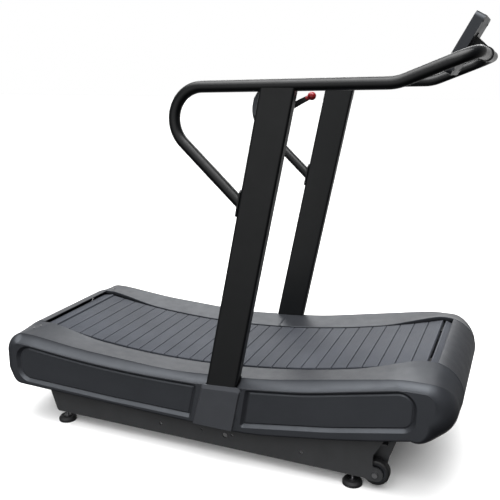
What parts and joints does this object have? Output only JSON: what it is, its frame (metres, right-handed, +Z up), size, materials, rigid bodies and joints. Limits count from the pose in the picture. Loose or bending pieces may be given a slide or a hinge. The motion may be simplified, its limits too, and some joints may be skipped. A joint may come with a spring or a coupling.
{
  "type": "curved manual treadmill",
  "caption": "Curved manual treadmill with a concave slat belt, leaning uprights, looped handrail, small console, levelling feet and transport wheels.",
  "frame": {"origin": "on the floor under the middle of the machine, level with the soles of the feet", "axes": "+X the way the runner faces, towards the console; +Y the runner's left; +Z up"},
  "size_m": [1.86, 0.822, 1.638],
  "materials": {
    "shroud_plastic": "fine-grained satin charcoal",
    "cover_plastic": "fine-grained satin charcoal",
    "slat_rubber": "ribbed grey tread",
    "belt_rubber": "matte black",
    "frame_steel": "textured charcoal powder coat",
    "post_steel": "satin black powder coat",
    "bright_steel": "ground",
    "bolt_steel": "black oxide",
    "cast_metal": "painted casting",
    "pulley_alloy": "turned",
    "magnet_metal": "nickel plated",
    "foot_rubber": "matte black",
    "wheel_plastic": "moulded black",
    "wheel_rubber": "matte black",
    "console_plastic": "fine-grained black",
    "lens_glass": "clear smoked lens",
    "display": "dark liquid crystal panel",
    "board": "green circuit board",
    "button_plastic": "grey key cap",
    "lever_steel": "black powder coat",
    "knob_red": "glossy red"
  },
  "bodies": {
    "frame": {"axle_bearings": "bright_steel", "base_cover_left": "cover_plastic", "base_cover_right": "cover_plastic", "bearing_blocks": "cast_metal", "brake_bracket": "frame_steel", "console_back": "console_plastic", "console_bezel": "console_plastic", "console_board": "board", "console_bracket": "post_steel", "console_lens": "lens_glass", "console_screws": "bolt_steel", "cover_screws": "bright_steel", "cross_beams": "frame_steel", "deck_rails": "frame_steel", "deck_rollers": "bright_steel", "display_module": "display", "drive_belts": "belt_rubber", "foot_nuts": "bright_steel", "foot_pads": "foot_rubber", "foot_studs": "bright_steel", "frame_bolts": "bolt_steel", "front_nose_cover": "shroud_plastic", "front_shroud_left": "shroud_plastic", "front_shroud_right": "shroud_plastic", "handrail_front_bar": "post_steel", "handrail_left": "post_steel", "handrail_right": "post_steel", "lever_housing": "cover_plastic", "lift_handle": "cover_plastic", "rear_nose_cover": "shroud_plastic", "rear_shroud_left": "shroud_plastic", "rear_shroud_right": "shroud_plastic", "roller_bolts": "bolt_steel", "side_plate_left": "frame_steel", "side_plate_right": "frame_steel", "slat_bolts": "bolt_steel", "slats": "slat_rubber", "strut_flanges": "post_steel", "upright_left": "post_steel", "upright_right": "post_steel", "wheel_axles": "bright_steel", "wheel_forks": "frame_steel"},
    "front_drive": {"front_axle": "bright_steel", "front_pulleys": "pulley_alloy"},
    "flywheel_rotor": {"flywheel": "cast_metal", "one_way_bearing": "bright_steel"},
    "rear_drive": {"rear_axle": "bright_steel", "rear_pulleys": "pulley_alloy"},
    "wheel_right": {"wheel_hub_right": "wheel_plastic", "wheel_tyre_right": "wheel_rubber"},
    "wheel_left": {"wheel_hub_left": "wheel_plastic", "wheel_tyre_left": "wheel_rubber"},
    "lever": {"resistance_lever": "lever_steel", "lever_knob": "knob_red"},
    "brake": {"magnet_carrier": "frame_steel", "brake_magnets": "magnet_metal"},
    "stop_key": {"button_stop": "button_plastic"},
    "down_key": {"button_down": "button_plastic"},
    "up_key": {"button_up": "button_plastic"},
    "start_key": {"button_start": "button_plastic"}
  },
  "joints": [
    {"name": "front_axle_spin", "type": "hinge", "parent": "frame", "child": "front_drive", "pos_m": [0.8, 0, 0.36056], "axis": [0, 1, 0], "continuous": true},
    {"name": "flywheel_overrun", "type": "hinge", "parent": "front_drive", "child": "flywheel_rotor", "pos_m": [0.8, 0, 0.36056], "axis": [0, 1, 0], "continuous": true},
    {"name": "rear_axle_spin", "type": "hinge", "parent": "frame", "child": "rear_drive", "pos_m": [-0.8, 0, 0.27397], "axis": [0, 1, 0], "continuous": true},
    {"name": "wheel_right_spin", "type": "hinge", "parent": "frame", "child": "wheel_right", "pos_m": [0.662, -0.331, 0.07], "axis": [0, 1, 0], "continuous": true},
    {"name": "wheel_left_spin", "type": "hinge", "parent": "frame", "child": "wheel_left", "pos_m": [0.662, 0.331, 0.07], "axis": [0, 1, 0], "continuous": true},
    {"name": "resistance_lever_turn", "type": "hinge", "parent": "frame", "child": "lever", "pos_m": [0.268, -0.33, 1.312], "axis": [0, 1, 0], "range_deg": [-60, 10]},
    {"name": "brake_turn", "type": "hinge", "parent": "frame", "child": "brake", "pos_m": [0.664, 0.279, 0.318], "axis": [0, 1, 0], "range_deg": [-1, 6]},
    {"name": "stop_key_press", "type": "slide", "parent": "frame", "child": "stop_key", "axis": [0.8829, 0, -0.4695], "range_m": [0, 0.0014], "stiffness_N_per_m": 400},
    {"name": "down_key_press", "type": "slide", "parent": "frame", "child": "down_key", "axis": [0.8829, 0, -0.4695], "range_m": [0, 0.0014], "stiffness_N_per_m": 400},
    {"name": "up_key_press", "type": "slide", "parent": "frame", "child": "up_key", "axis": [0.8829, 0, -0.4695], "range_m": [0, 0.0014], "stiffness_N_per_m": 400},
    {"name": "start_key_press", "type": "slide", "parent": "frame", "child": "start_key", "axis": [0.8829, 0, -0.4695], "range_m": [0, 0.0014], "stiffness_N_per_m": 400}
  ],
  "couplings": [
    {"joint": "rear_axle_spin", "follows": "front_axle_spin", "ratio": 1},
    {"joint": "brake_turn", "follows": "resistance_lever_turn", "ratio": -0.1}
  ]
}
